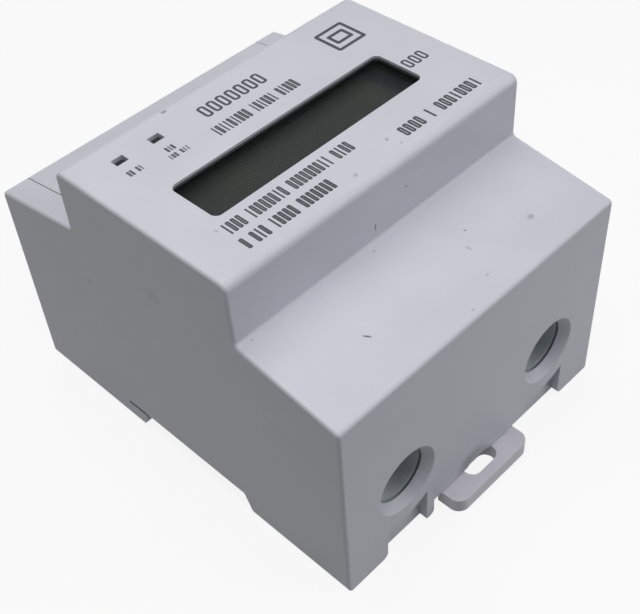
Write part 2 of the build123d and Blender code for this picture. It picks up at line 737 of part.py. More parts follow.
def lamp(x):
    """Small domed lamp standing on the display board, below its light pipe."""
    low = display_board_top
    dome_centre = roof - pane_thickness - pipe_length - lamp_gap - lamp_radius
    with BuildPart() as body:
        rod(x, indicator_y, lamp_radius + lamp_rim, (low, low + lamp_rim_height))
        rod(x, indicator_y, lamp_radius, (low, dome_centre))
        with Locations((x, indicator_y, dome_centre)):
            Sphere(lamp_radius)
    return body


pulse_light_pipe, comms_light_pipe = light_pipe(pulse_x), light_pipe(comms_x)
pulse_led, comms_led = lamp(pulse_x), lamp(comms_x)

# Display: glass panel in a frame over a backlight, on the display board
lcd_length = window_length + 2 * lcd_border_x
lcd_width = window_width + 2 * lcd_border_y
lcd_top = roof - pane_thickness - lamp_gap
lcd_low = lcd_top - lcd_thickness
with BuildPart() as lcd_panel:
    with Locations((window_x, window_y, lcd_low + lcd_thickness / 2)):
        Box(lcd_length, lcd_width, lcd_thickness)
    chamfer(lcd_panel.edges().filter_by(Axis.Z), lcd_edge)
with BuildPart() as lcd_frame:
    with BuildSketch(Plane.XY.offset(display_board_top)):
        with Locations((window_x, window_y)):
            RectangleRounded(lcd_length + 2 * frame_wall, lcd_width + 2 * frame_wall, frame_wall)
            Rectangle(lcd_length - 2 * frame_ledge, lcd_width - 2 * frame_ledge, mode=Mode.SUBTRACT)
    extrude(amount=lcd_top - display_board_top)
    with Locations((window_x, window_y, lcd_low + lcd_thickness)):
        Box(lcd_length + 2 * lcd_gap, lcd_width + 2 * lcd_gap, 2 * lcd_thickness, mode=Mode.SUBTRACT)
with BuildPart() as lcd_backlight:
    with Locations((window_x, window_y, (display_board_top + lcd_low - lcd_gap) / 2)):
        Box(lcd_length - 2 * frame_ledge - 2 * lcd_gap, lcd_width - 2 * frame_ledge - 2 * lcd_gap,
            lcd_low - lcd_gap - display_board_top)
    chamfer(lcd_backlight.faces().sort_by(Axis.Z)[-1].edges(), lcd_edge)


def board(underside, front, rear, holes):
    """Circuit board that hangs on the bosses' screws."""
    half = half_width - wall - board_side_gap
    with BuildPart() as plate:
        slab((-half, half), (front, rear), (underside, underside + board_thickness))
        chamfer(plate.edges().filter_by(Axis.Z), board_corner)
        for x, y in holes:
            rod(x, y, board_screw_radius + screw_passage, (underside, underside + board_thickness),
                mode=Mode.SUBTRACT)
    return plate


main_board = board(main_board_height, main_board_front, main_board_rear, main_bosses)
display_board = board(display_board_height, -display_board_rear, display_board_rear, display_bosses)


def pan_screw(head_radius, head_height, shank_radius, length):
    """Cross-head screw on the Z axis, driven from below, with its head under the XY plane."""
    with BuildPart() as screw:
        rod(0, 0, head_radius, (-head_height, 0))
        chamfer(screw.faces().sort_by(Axis.Z)[0].edges(), head_height / 4)
        rod(0, 0, shank_radius, (0, length))
        chamfer(screw.faces().sort_by(Axis.Z)[-1].edges(), shank_radius / 2)
        for along, across in (cross_arms, cross_arms[::-1]):
            slab((-along * head_radius, along * head_radius), (-across * head_radius, across * head_radius),
                 (-head_height, -head_height / 2), mode=Mode.SUBTRACT)
    return screw.part


case_screw = pan_screw(screw_head_radius, screw_head_height, screw_radius, case_screw_length)
with BuildPart() as case_screws:
    with Locations(*[(x, y, screw_sink + screw_head_height) for x, y in corners]):
        add(case_screw)

board_screw = pan_screw(board_screw_head_radius, board_screw_head_height, board_screw_radius,
                        board_screw_length - tip_clearance)
with BuildPart() as board_screws:
    with Locations(*[(x, y, main_board_height) for x, y in main_bosses],
                   *[(x, y, display_board_height) for x, y in display_bosses]):
        add(board_screw)

# Parts on the main board
def seated(place, size, bottom=main_board_top):
    """Pairs of coordinates of a block standing on the main board."""
    (x, y), (length, breadth, tall) = place, size
    return (x - length / 2, x + length / 2), (y - breadth / 2, y + breadth / 2), (bottom, bottom + tall)


with BuildPart() as filter_capacitor:
    film_place = (half_width - film_inset, main_board_rear - film_rear_inset)
    slab(*seated(film_place, (film_length, film_thickness, board_space - film_headroom)))
    upright = filter_capacitor.edges().filter_by(Axis.Z)
    chamfer(upright + filter_capacitor.faces().sort_by(Axis.Z)[-1].edges(), film_corner)

with BuildPart() as capacitor_can:
    rod(0, 0, can_radius, (0, board_space - can_headroom))
    chamfer(capacitor_can.edges().filter_by(GeomType.CIRCLE), can_edge)
    with BuildSketch(Plane.XY.offset(can_groove_height)):
        Circle(can_radius + can_groove_depth)
        Circle(can_radius - can_groove_depth, mode=Mode.SUBTRACT)
    extrude(amount=can_groove_width, mode=Mode.SUBTRACT)
with BuildPart() as bulk_capacitors:
    can_y = can_front_inset - half_block
    with Locations(*[(can_inset - half_width, y, main_board_top) for y in (can_y, can_y + can_pitch)]):
        add(capacitor_can.part)

with BuildPart() as surge_varistor:
    x, y = half_width - varistor_inset, main_board_rear - varistor_rear_inset
    varistor_radius = (board_space - varistor_headroom - varistor_lead_length) / 2
    with Locations(Location((x, y, main_board_top + varistor_lead_length + varistor_radius), (90, 0, 0))):
        Cylinder(varistor_radius, varistor_thickness)
    chamfer(surge_varistor.edges().filter_by(GeomType.CIRCLE), varistor_edge)
    for lead_x in (x - varistor_lead_pitch / 2, x + varistor_lead_pitch / 2):
        rod(lead_x, y, varistor_lead_radius, (main_board_top, main_board_top + varistor_radius))

# Supply transformer: a bobbin's foot and winding between the two halves of its core
with BuildPart() as supply_transformer:
    bobbin_y = main_board_rear - bobbin_rear_inset
    bobbin_height = board_space - bobbin_headroom
    core_low = main_board_top + bobbin_height - core_leg
    slab(*seated((bobbin_x, bobbin_y), (bobbin_width, bobbin_width, bobbin_foot)))
    rod(bobbin_x, bobbin_y, winding_radius, (main_board_top, core_low))
    slab(*seated((bobbin_x, bobbin_y), (bobbin_width, core_depth, core_leg), core_low))
    for side in (-1, 1):
        leg_x = bobbin_x + side * (bobbin_width - core_leg) / 2
        slab(*seated((leg_x, bobbin_y), (core_leg, core_depth, bobbin_height)))


def gull_wing_chip(place, size, pins, pitch, four_sided):
    """Moulded chip with bent legs along two or four sides."""
    (x, y), (length, breadth, thickness) = place, size
    low = main_board_top
    leg = pitch * chip_leg_share
    inset = chip_leg_thickness
    with BuildPart() as chip:
        slab(*seated(place, (length, breadth, thickness - chip_stand_off), low + chip_stand_off))
        chamfer(chip.faces().sort_by(Axis.Z)[-1].edges(), chip_edge)
        for index in range(pins):
            along = (index - (pins - 1) / 2) * pitch
            for side in (-1, 1):
                edge = y + side * breadth / 2
                slab((x + along - leg / 2, x + along + leg / 2),
                     sorted((edge - side * inset, edge + side * chip_leg_length)),
                     (low, low + chip_leg_thickness))
                if four_sided:
                    edge = x + side * length / 2
                    slab(sorted((edge - side * inset, edge + side * chip_leg_length)),
                         (y + along - leg / 2, y + along + leg / 2), (low, low + chip_leg_thickness))
    return chip


chip_y = main_board_front + chip_row_inset
metering_chip = gull_wing_chip(
    (meter_chip_x, chip_y), meter_chip_size, meter_chip_pins, meter_chip_pitch, four_sided=False)
controller_chip = gull_wing_chip(
    (control_chip_x, chip_y), control_chip_size, control_chip_pins, control_chip_pitch, four_sided=True)

with BuildPart() as clock_crystal:
    for rim, low, high in ((crystal_rim, 0, crystal_rim_height), (0, crystal_rim_height, crystal_height)):
        with BuildSketch(Plane.XY.offset(main_board_top + low)):
            with Locations((crystal_x, chip_y)):
                SlotOverall(crystal_length + 2 * rim, crystal_width + 2 * rim, rotation=90)
        extrude(amount=high - low)
    chamfer(clock_crystal.faces().sort_by(Axis.Z)[-1].edges(), crystal_rim)

with BuildPart() as pin_header:
    header_y = header_inset - display_board_rear
    for low in (main_board_top, display_board_height - header_body):
        slab(*seated((0, header_y), (header_pins * header_pitch, header_body, header_body), low))
    for index in range(header_pins):
        pin_x = (index - (header_pins - 1) / 2) * header_pitch
        slab(*seated((pin_x, header_y), (header_pin, header_pin, board_space - header_body),
                     main_board_top + header_body / 2))

pieces = {
    "housing": housing, "base": base, "terminal_cover": terminal_cover, "din_clip": din_clip,
    "clip_spring": clip_spring, "cable_tube_left": cable_tube_left, "cable_tube_right": cable_tube_right,
    "current_transformer_left": current_transformer_left,
    "current_transformer_right": current_transformer_right,
    "tap_plate_left": tap_plate_left, "tap_plate_right": tap_plate_right, "tap_screws": tap_screws,
    "terminal_block": terminal_block, "neutral_clamp": neutral_clamp, "neutral_screw": neutral_screw,
    "window_pane": window_pane, "pulse_light_pipe": pulse_light_pipe, "comms_light_pipe": comms_light_pipe,
    "pulse_led": pulse_led, "comms_led": comms_led, "lcd_panel": lcd_panel, "lcd_frame": lcd_frame,
    "lcd_backlight": lcd_backlight, "main_board": main_board, "display_board": display_board,
    "case_screws": case_screws, "board_screws": board_screws, "filter_capacitor": filter_capacitor,
    "bulk_capacitors": bulk_capacitors, "surge_varistor": surge_varistor,
    "supply_transformer": supply_transformer, "metering_chip": metering_chip,
    "controller_chip": controller_chip, "clock_crystal": clock_crystal, "pin_header": pin_header,
}

os.makedirs("parts", exist_ok=True)
for name, piece in pieces.items():
    piece.part.label = name
    export_step(piece.part, f"parts/{name}.step")
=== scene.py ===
"""Looks of a rail-mounted electronic kilowatt-hour meter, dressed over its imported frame."""

import logging
import math
from dataclasses import dataclass
from enum import Enum

import bpy
import numpy as np
from mathutils import Matrix, Vector


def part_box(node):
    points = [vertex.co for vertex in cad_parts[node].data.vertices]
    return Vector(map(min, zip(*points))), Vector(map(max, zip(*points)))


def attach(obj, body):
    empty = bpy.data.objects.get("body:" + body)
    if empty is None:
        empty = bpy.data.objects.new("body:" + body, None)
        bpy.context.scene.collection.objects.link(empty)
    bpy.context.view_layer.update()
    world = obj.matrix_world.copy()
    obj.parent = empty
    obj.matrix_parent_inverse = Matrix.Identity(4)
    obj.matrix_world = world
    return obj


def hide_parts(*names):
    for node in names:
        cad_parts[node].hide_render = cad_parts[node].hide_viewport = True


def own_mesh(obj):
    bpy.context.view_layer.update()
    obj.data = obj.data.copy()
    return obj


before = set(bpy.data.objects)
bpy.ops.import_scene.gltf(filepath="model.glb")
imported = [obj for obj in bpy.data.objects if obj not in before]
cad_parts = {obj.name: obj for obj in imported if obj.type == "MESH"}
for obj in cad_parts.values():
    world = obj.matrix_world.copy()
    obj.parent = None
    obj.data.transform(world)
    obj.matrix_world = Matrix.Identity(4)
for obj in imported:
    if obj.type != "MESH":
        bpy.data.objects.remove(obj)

logging.basicConfig(level=logging.INFO, format="%(message)s")
log = logging.getLogger("meter")

MM = 0.001
Colour = tuple[float, float, float]
Point = tuple[float, float, float]
Faces = list[list[int]]
WHITE: Colour = (1.0, 1.0, 1.0)

# Places of a Mix node's sockets when it mixes colours.
MIX_FACTOR, MIX_FIRST, MIX_SECOND, MIX_RESULT = 0, 6, 7, 2


def srgb(red: float, green: float, blue: float) -> Colour:
    """Linear colour from display values between 0 and 255.

    Args:
        red, green, blue: display values.

    Returns:
        The linear colour, by the standard curve: a straight toe below 0.04045, a 2.4 power above.
    """
    def channel(value: float) -> float:
        """One channel of the curve."""
        share = value / 255
        return share / 12.92 if share <= 0.04045 else ((share + 0.055) / 1.055) ** 2.4
    return channel(red), channel(green), channel(blue)


def opaque(colour: Colour) -> tuple[float, float, float, float]:
    """The colour with full alpha."""
    return (*colour, 1.0)


def scaled(colour: Colour, factor: float) -> Colour:
    """The colour times a factor, with no channel above 1."""
    return tuple(min(1.0, channel * factor) for channel in colour)


class Signal:
    """A shader value: arithmetic on it adds Math nodes to its node tree."""

    def __init__(self, graph: "NodeGraph", socket: bpy.types.NodeSocket) -> None:
        """Wraps an output socket of the graph's node tree."""
        self.graph = graph
        self.socket = socket

    def math(self, operation: str, *others: "Signal | float", first: bool = True) -> "Signal":
        """Adds one Math node.

        Args:
            operation: the node's operation.
            others: further operands.
            first: whether this signal is the first operand, or the last.

        Returns:
            The node's value.
        """
        operands = [self, *others] if first else [*others, self]
        node = self.graph.node("ShaderNodeMath", {"operation": operation}, dict(enumerate(operands)))
        return Signal(self.graph, node.outputs[0])

    def __add__(self, other: "Signal | float") -> "Signal":
        """Sum."""
        return self.math("ADD", other)

    def __radd__(self, other: float) -> "Signal":
        """Sum with a number on the left."""
        return self.math("ADD", other)

    def __sub__(self, other: "Signal | float") -> "Signal":
        """Difference."""
        return self.math("SUBTRACT", other)

    def __rsub__(self, other: float) -> "Signal":
        """Difference from a number."""
        return self.math("SUBTRACT", other, first=False)

    def __mul__(self, other: "Signal | float") -> "Signal":
        """Product."""
        return self.math("MULTIPLY", other)

    def __rmul__(self, other: float) -> "Signal":
        """Product with a number on the left."""
        return self.math("MULTIPLY", other)

    def __truediv__(self, other: "Signal | float") -> "Signal":
        """Quotient."""
        return self.math("DIVIDE", other)

    def __rtruediv__(self, other: float) -> "Signal":
        """Quotient of a number."""
        return self.math("DIVIDE", other, first=False)

    def __abs__(self) -> "Signal":
        """Size without sign."""
        return self.math("ABSOLUTE")

    def above(self, level: "Signal | float") -> "Signal":
        """1 where the value is above the level, otherwise 0."""
        return self.math("GREATER_THAN", level)

    def below(self, level: "Signal | float") -> "Signal":
        """1 where the value is below the level, otherwise 0."""
        return self.math("LESS_THAN", level)

    def least(self, other: "Signal | float") -> "Signal":
        """The lower of the two."""
        return self.math("MINIMUM", other)

    def most(self, other: "Signal | float") -> "Signal":
        """The higher of the two."""
        return self.math("MAXIMUM", other)

    def between(self, low: float, high: float) -> "Signal":
        """1 from low to high, otherwise 0."""
        return self.above(low) * self.below(high)

    def fade(self, start: float, end: float) -> "Signal":
        """Adds a smooth step.

        Args:
            start: value at which the step is 0.
            end: value at which the step is 1; it may be lower than the start.

        Returns:
            0 on the start's side, 1 on the end's side, and a smooth rise between the two.
        """
        low, high = min(start, end), max(start, end)
        at_low, at_high = (0.0, 1.0) if start < end else (1.0, 0.0)
        node = self.graph.node("ShaderNodeMapRange", {"interpolation_type": "SMOOTHSTEP"}, {
            "Value": self, "From Min": low, "From Max": high, "To Min": at_low, "To Max": at_high})
        return Signal(self.graph, node.outputs[0])


class NodeGraph:
    """A node tree, built by a single method for every kind of node."""

    def __init__(self, tree: bpy.types.NodeTree) -> None:
        """Wraps the tree."""
        self.tree = tree

    def node(self, kind: str, settings: dict | None = None, values: dict | None = None) -> bpy.types.Node:
        """Adds a node.

        Args:
            kind: the node's type.
            settings: its properties, such as an operation, set first.
            values: numbers, colours, sockets or signals for its inputs, by name or place.

        Returns:
            The node.
        """
        node = self.tree.nodes.new(kind)
        for key, value in (settings or {}).items():
            setattr(node, key, value)
        for key, value in (values or {}).items():
            if isinstance(value, Signal):
                value = value.socket
            if isinstance(value, bpy.types.NodeSocket):
                self.tree.links.new(value, node.inputs[key])
            else:
                node.inputs[key].default_value = value
        return node

    def seen_rays(self) -> Signal:
        """Tells which rays show the white surroundings.

        Returns:
            1 for rays of the camera, of reflections and through clear parts, otherwise 0.
        """
        rays = self.node("ShaderNodeLightPath").outputs
        camera, glossy, through = (
            Signal(self, rays[f"Is {kind} Ray"]) for kind in ("Camera", "Glossy", "Transmission"))
        return camera.most(glossy).most(through)


class Shader(NodeGraph):
    """One material's node tree, with its Object coordinates."""

    def __init__(self, name: str) -> None:
        """Makes an empty material.

        Args:
            name: the material's name.
        """
        self.material = bpy.data.materials.new(name)
        self.material.use_nodes = True
        super().__init__(self.material.node_tree)
        self.tree.nodes.clear()
        self.output = self.node("ShaderNodeOutputMaterial")
        self.place = self.node("ShaderNodeTexCoord").outputs["Object"]
        parts = self.node("ShaderNodeSeparateXYZ", values={0: self.place})
        self.x, self.y, self.z = (Signal(self, parts.outputs[axis]) for axis in range(3))

    def noise(self, grain: float, detail: float = 2.0, stretch: Point = (1, 1, 1)) -> Signal:
        """Noise on Object coordinates.

        Args:
            grain: size of the pattern in metres.
            detail: octaves.
            stretch: how much faster the pattern runs along each axis.

        Returns:
            A value about 0.5.
        """
        mapped = self.node("ShaderNodeMapping", values={"Vector": self.place, "Scale": stretch})
        node = self.node("ShaderNodeTexNoise", values={
            "Vector": mapped.outputs[0], "Scale": 1 / grain, "Detail": detail})
        return Signal(self, node.outputs[0])

    def cells(self, spacing: float) -> Signal:
        """Distance, in cell widths, to the nearest of scattered points about one spacing apart."""
        node = self.node("ShaderNodeTexVoronoi", values={"Vector": self.place, "Scale": 1 / spacing})
        return Signal(self, node.outputs["Distance"])

    def distance(self, centre: Point, stretch: Point = (1, 1, 1), turn: float = 0.0) -> Signal:
        """Uneven distance from a point of the object.

        Args:
            centre: the point, in metres.
            stretch: factor on the distance along each axis.
            turn: angle in radians by which the offset is turned about Z before it is stretched.

        Returns:
            The length of the turned and stretched offset, in metres.
        """
        offset = self.node("ShaderNodeVectorMath", {"operation": "SUBTRACT"}, {0: self.place, 1: centre})
        if turn:
            offset = self.node("ShaderNodeVectorRotate", {"rotation_type": "Z_AXIS"},
                               {"Vector": offset.outputs[0], "Angle": turn})
        uneven = self.node("ShaderNodeVectorMath", {"operation": "MULTIPLY"},
                           {0: offset.outputs[0], 1: stretch})
        length = self.node("ShaderNodeVectorMath", {"operation": "LENGTH"}, {0: uneven.outputs[0]})
        return Signal(self, length.outputs["Value"])

    def random(self, number: Signal) -> Signal:
        """A value from 0 to 1 that is fixed for each whole number."""
        node = self.node("ShaderNodeTexWhiteNoise", {"noise_dimensions": "1D"}, {"W": number})
        return Signal(self, node.outputs["Value"])

    def mix(self, mask: Signal, low: "Colour | bpy.types.NodeSocket", high: Colour) -> bpy.types.NodeSocket:
        """Mixes two colours.

        Args:
            mask: 0 for the low colour, 1 for the high one.
            low: a colour, or the socket of an earlier mix.
            high: a colour.

        Returns:
            The socket of the mixed colour.
        """
        first = opaque(low) if isinstance(low, tuple) else low
        node = self.node("ShaderNodeMix", {"data_type": "RGBA"}, {
            MIX_FACTOR: mask, MIX_FIRST: first, MIX_SECOND: opaque(high)})
        return node.outputs[MIX_RESULT]

    def blend(self, mask: "Signal | float", first: bpy.types.Node, second: bpy.types.Node) -> bpy.types.Node:
        """Mix Shader node that goes from the first surface to the second with the mask."""
        return self.node("ShaderNodeMixShader", values={0: mask, 1: first.outputs[0], 2: second.outputs[0]})

    def bump(self, relief: Signal, depth: float) -> bpy.types.NodeSocket:
        """Normals of a relief whose lowest and highest points are depth metres apart."""
        return self.node("ShaderNodeBump", values={
            "Height": relief, "Distance": depth, "Strength": 1.0}).outputs[0]

    def close(self, surface: bpy.types.Node) -> bpy.types.Material:
        """Ends the tree with a surface and gives back the finished material."""
        self.tree.links.new(surface.outputs[0], self.output.inputs[0])
        return self.material

    def surface(self, values: dict, relief: Signal | None = None, depth: float = 0.0) -> bpy.types.Material:
        """Ends the tree with a Principled surface.

        Args:
            values: the surface's inputs by name.
            relief: height pattern about 0.5, if the surface has one.
            depth: metres from the lowest to the highest point of the relief.

        Returns:
            The finished material.
        """
        if relief is not None:
            values = {**values, "Normal": self.bump(relief, depth)}
        return self.close(self.node("ShaderNodeBsdfPrincipled", values=values))


@dataclass(frozen=True)
class PlasticRecipe:
    """Colour, roughness and texture depth of a plastic; the depth is in metres."""

    colour: Colour
    roughness: float
    depth: float


class Moulding(Enum):
    """Moulded plastics of the meter."""

    SHELL = PlasticRecipe(srgb(214, 215, 224), 0.48, 0.012 * MM)
    CLIP = PlasticRecipe(srgb(224, 222, 230), 0.44, 0.010 * MM)
    TUBE = PlasticRecipe(srgb(208, 213, 216), 0.38, 0.004 * MM)
    BLOCK = PlasticRecipe(srgb(44, 44, 48), 0.42, 0.006 * MM)
    COIL_CASE = PlasticRecipe(srgb(36, 58, 112), 0.35, 0.004 * MM)
    LIGHT_GUIDE = PlasticRecipe(srgb(226, 230, 226), 0.30, 0.003 * MM)
    CHIP = PlasticRecipe(srgb(34, 34, 36), 0.50, 0.006 * MM)
    FILM_CASE = PlasticRecipe(srgb(206, 176, 64), 0.34, 0.003 * MM)
    COATING = PlasticRecipe(srgb(38, 68, 138), 0.22, 0.010 * MM)
    FERRITE = PlasticRecipe(srgb(48, 46, 48), 0.62, 0.012 * MM)


@dataclass(frozen=True)
class Mark:
    """One speck, hair, smudge or scuff on a surface, or a patch of painted shade or a painted highlight;
    sizes and places in millimetres, its turn in degrees.

    The stretch is a factor on the distance along each axis, so a mark is longer where it is lower. Ragged
    is the size of the unevenness of its outline, and core the share of the radius at full strength.
    """

    place: Point
    radius: float
    strength: float = 0.75
    stretch: Point = (1, 1, 1)
    turn: float = 0.0
    colour: Colour = srgb(78, 76, 82)
    ragged: float = 0.4
    core: float = 0.4

    def mask(self, shader: Shader) -> Signal:
        """Builds the mark's mask.

        Args:
            shader: the material's tree.

        Returns:
            0 where the distance from its centre, made uneven by fine noise, is over its radius, rising to
            its strength in its core.
        """
        radius = self.radius * MM
        uneven = (shader.noise(self.ragged * MM) - 0.5) * radius
        centre = tuple(value * MM for value in self.place)
        edge = shader.distance(centre, self.stretch, math.radians(self.turn)) + uneven
        return edge.fade(radius, radius * self.core) * self.strength


@dataclass(frozen=True)
class PrintLine:
    """A row of plain ring and bar shapes printed on the top; sizes and places in millimetres.

    The words are the numbers of shapes between gaps, the fill is half a shape's width as a share of the
    pitch, the roundness is that of its corners, and the bars are the share of shapes that are one stroke.
    """

    left: float
    low: float
    height: float
    pitch: float
    words: tuple[int, ...]
    stroke: float = 0.42
    roundness: float = 0.8
    bars: float = 0.28
    fill: float = 0.39

    def mask(self, shader: Shader) -> Signal:
        """Builds the row's mask.

        Args:
            shader: the material's tree.

        Returns:
            1 on ink. The place along the row is cut into cells of one pitch, each holding the outline of a
            rounded box or, in the given share of the cells, one upright bar; a gap of one cell parts the
            words.
        """
        cell = (shader.x * (1 / MM) - self.left) / self.pitch
        number = cell.math("FLOOR")
        across = (cell.math("FRACT") - 0.5) * self.pitch
        upward = shader.y * (1 / MM) - (self.low + self.height / 2)
        half_width, half_height, half_stroke = self.pitch * self.fill, self.height / 2, self.stroke / 2
        corner = half_width * self.roundness
        out_x = abs(across) - (half_width - corner)
        out_y = abs(upward) - (half_height - corner)
        outside = (out_x.most(0) * out_x.most(0) + out_y.most(0) * out_y.most(0)).math("SQRT")
        edge = outside + out_x.most(out_y).least(0) - (corner - half_stroke)
        ring = abs(edge).below(half_stroke)
        bar = abs(across).below(half_stroke) * abs(upward).below(half_height)
        chosen = shader.random(number + self.low).above(1 - self.bars)
        glyph = ring * (1 - chosen) + bar * chosen
        inside, start = 0.0, 0
        for letters in self.words:
            inside = number.between(start - 0.5, start + letters - 0.5) + inside
            start += letters + 1
        return glyph * inside


@dataclass(frozen=True)
class PaneShadeAndHighlight:
    """Painted shade low on the walls round the window pane, with a pale painted highlight where they meet the
    pane.

    The start and the full depth are measured down from the housing's top, the highlight up from the pane.
    """

    start: float = 0.5 * MM
    full: float = 0.65 * MM
    highlight_low: float = 0.02 * MM
    highlight_high: float = 0.16 * MM
    highlight_strength: float = 0.6
    # colour of the painted shade; the highlight's colour follows
    colour: Colour = srgb(40, 42, 44)
    highlight_colour: Colour = srgb(168, 170, 172)

    def tint(self, shader: Shader, tint: bpy.types.NodeSocket, top: float) -> bpy.types.NodeSocket:
        """Paints shade and a highlight on the walls.

        Args:
            shader: the material's tree.
            tint: the colour so far.
            top: level of the housing's top, in metres.

        Returns:
            The colour with the painted shade and the painted highlight, inside the pane's outline.
        """
        low, high = (Vector(corner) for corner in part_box("window_pane"))
        over = shader.x.between(low.x, high.x) * shader.y.between(low.y, high.y)
        # painted shade, darker further down the walls
        tint = shader.mix(over * shader.z.fade(top - self.start, top - self.full), tint, self.colour)
        # painted highlight just above the pane
        line = shader.z.between(high.z + self.highlight_low, high.z + self.highlight_high)
        return shader.mix(over * line * self.highlight_strength, tint, self.highlight_colour)


@dataclass(frozen=True)
class TopMarkingsAndPaintedLight:
    """Marks, print, and painted shade and highlight round the pane, that only the housing has; ink lies
    within the print depth of its top.
    """

    marks: tuple[Mark, ...]
    print_lines: tuple[PrintLine, ...]
    pane_shade_and_highlight: PaneShadeAndHighlight
    top: float
    print_depth: float = 0.2 * MM
    ink: Colour = srgb(32, 32, 46)
    ink_strength: float = 0.98
    wear: float = 0.2
    wear_grain: float = 0.5 * MM

    def tint(self, shader: Shader, tint: bpy.types.NodeSocket) -> bpy.types.NodeSocket:
        """Lays the marks, the ink and the painted shade and highlight round the pane over a colour.

        Args:
            shader: the material's tree.
            tint: the colour so far.

        Returns:
            The colour with every mark, with slightly worn ink near the top's level, and with the painted
            shade and highlight round the pane.
        """
        for mark in self.marks:
            tint = shader.mix(mark.mask(shader), tint, mark.colour)
        ink = sum((line.mask(shader) for line in self.print_lines[1:]), self.print_lines[0].mask(shader))
        worn = self.ink_strength - shader.noise(self.wear_grain, 3.0).fade(0.6, 0.85) * self.wear
        ink = ink.least(1) * shader.z.above(self.top - self.print_depth) * worn
        return self.pane_shade_and_highlight.tint(shader, shader.mix(ink, tint, self.ink), self.top)


@dataclass(frozen=True)
class MouldedPlastic:
    """Moulded plastic: spark-eroded grain, faint cloudy colour, settled dust and, on the housing, its marks,
    print and painted shade and highlights.
    """

    kind: Moulding
    top_markings_and_painted_light: TopMarkingsAndPaintedLight | None = None
    grain: float = 0.16 * MM
    cloud: float = 14 * MM
    pale: float = 1.02
    deep: float = 0.97
    dust_spacing: float = 3.4 * MM
    dust_size: float = 0.035
    dust_patch: float = 9 * MM
    dust_strength: float = 0.3
    dust_colour: Colour = srgb(96, 92, 90)
    cloud_sheen: float = 0.12
    grain_sheen: float = 0.05
    ior: float = 1.49

    def material(self) -> bpy.types.Material:
        """Builds the material.

        Returns:
            A material whose colour drifts by a few percent between deep and pale, whose roughness follows
            the same clouds and whose relief is fine noise, with specks of dust in some patches.
        """
        recipe = self.kind.value
        shader = Shader(f"{self.kind.name.lower()}_plastic")
        clouds = shader.noise(self.cloud, 4.0)
        grain = shader.noise(self.grain, 1.0)
        deep, pale = scaled(recipe.colour, self.deep), scaled(recipe.colour, self.pale)
        tint = shader.mix(clouds.fade(0.3, 0.7), deep, pale)
        specks = shader.cells(self.dust_spacing).below(self.dust_size)
        dust = specks * shader.noise(self.dust_patch).above(0.56)
        tint = shader.mix(dust * self.dust_strength, tint, self.dust_colour)
        # on the housing: marks, print, and painted shade and highlights
        if self.top_markings_and_painted_light:
            tint = self.top_markings_and_painted_light.tint(shader, tint)
        sheen = recipe.roughness + (clouds - 0.5) * self.cloud_sheen + (grain - 0.5) * self.grain_sheen
        return shader.surface({"Base Color": tint, "Roughness": sheen, "IOR": self.ior}, grain, recipe.depth)


@dataclass(frozen=True)
class MetalRecipe:
    """Colour and roughness of a metal, and how much faster its lines run along each axis."""

    colour: Colour
    roughness: float
    stretch: Point


class Metal(Enum):
    """Metals of the meter."""

    BRASS = MetalRecipe(srgb(206, 172, 104), 0.30, (1, 1, 12))
    ZINC = MetalRecipe(srgb(198, 200, 204), 0.32, (1, 1, 6))
    SPRING = MetalRecipe(srgb(168, 168, 170), 0.28, (1, 1, 1))
    CAN = MetalRecipe(srgb(70, 74, 96), 0.30, (1, 1, 10))
    BRIGHT_CAN = MetalRecipe(srgb(214, 214, 218), 0.16, (6, 1, 1))


@dataclass(frozen=True)
class MetalSurface:
    """Machined or plated metal with fine lines and dull blotches."""

    kind: Metal
    line_grain: float = 0.35 * MM
    blotch: float = 2.2 * MM
    dullness: float = 0.72
    dull_share: float = 0.6
    blotch_sheen: float = 0.3
    line_sheen: float = 0.12
    depth: float = 0.004 * MM

    def material(self) -> bpy.types.Material:
        """Builds the material.

        Returns:
            A metal whose lines are stretched noise and whose dull blotches are a coarser noise.
        """
        recipe = self.kind.value
        shader = Shader(f"{self.kind.name.lower()}_metal")
        lines = shader.noise(self.line_grain, 3.0, recipe.stretch)
        blotches = shader.noise(self.blotch, 3.0)
        dull = scaled(recipe.colour, self.dullness)
        tint = shader.mix(blotches.fade(0.35, 0.75) * self.dull_share, recipe.colour, dull)
        sheen = recipe.roughness + (blotches - 0.5) * self.blotch_sheen + (lines - 0.5) * self.line_sheen
        return shader.surface({"Base Color": tint, "Metallic": 1.0, "Roughness": sheen}, lines, self.depth)


@dataclass(frozen=True)
class CircuitBoard:
    """Green laminate with copper tracks under the lacquer and a weave that just shows."""

    name: str
    track_pitch: float = 1.27 * MM
    half_track: float = 0.13
    bend_size: float = 6 * MM
    bend: float = 2.4
    field_size: float = 11 * MM
    weave_size: float = 0.5 * MM
    lacquer: Colour = srgb(22, 84, 48)
    track_colour: Colour = srgb(46, 128, 74)
    coat: float = 0.35
    depth: float = 0.03 * MM

    def material(self) -> bpy.types.Material:
        """Builds the material.

        Returns:
            A lacquered board. Its coordinates are bent by noise, a track lies where they are within half a
            track of a grid line, and fields of tracks along one axis take turns with fields along the other.
        """
        shader = Shader(self.name)
        bend = (shader.noise(self.bend_size, 1.0) - 0.5) * (self.bend * self.track_pitch)
        along = ((shader.x + bend) / self.track_pitch).math("FRACT")
        across = ((shader.y - bend) / self.track_pitch).math("FRACT")
        chosen = shader.noise(self.field_size, 0.0).above(0.5)
        lengthwise = abs(along - 0.5).below(self.half_track) * chosen
        crosswise = abs(across - 0.5).below(self.half_track) * (1 - chosen)
        tracks = lengthwise.most(crosswise)
        warp, weft = ((axis / self.weave_size).math("SINE") for axis in (shader.x, shader.y))
        weave = (warp * weft + 1) * 0.5
        return shader.surface({
            "Base Color": shader.mix(tracks, self.lacquer, self.track_colour),
            "Roughness": 0.32 + weave * 0.06, "Coat Weight": self.coat},
            tracks * 0.8 + weave * 0.2, self.depth)


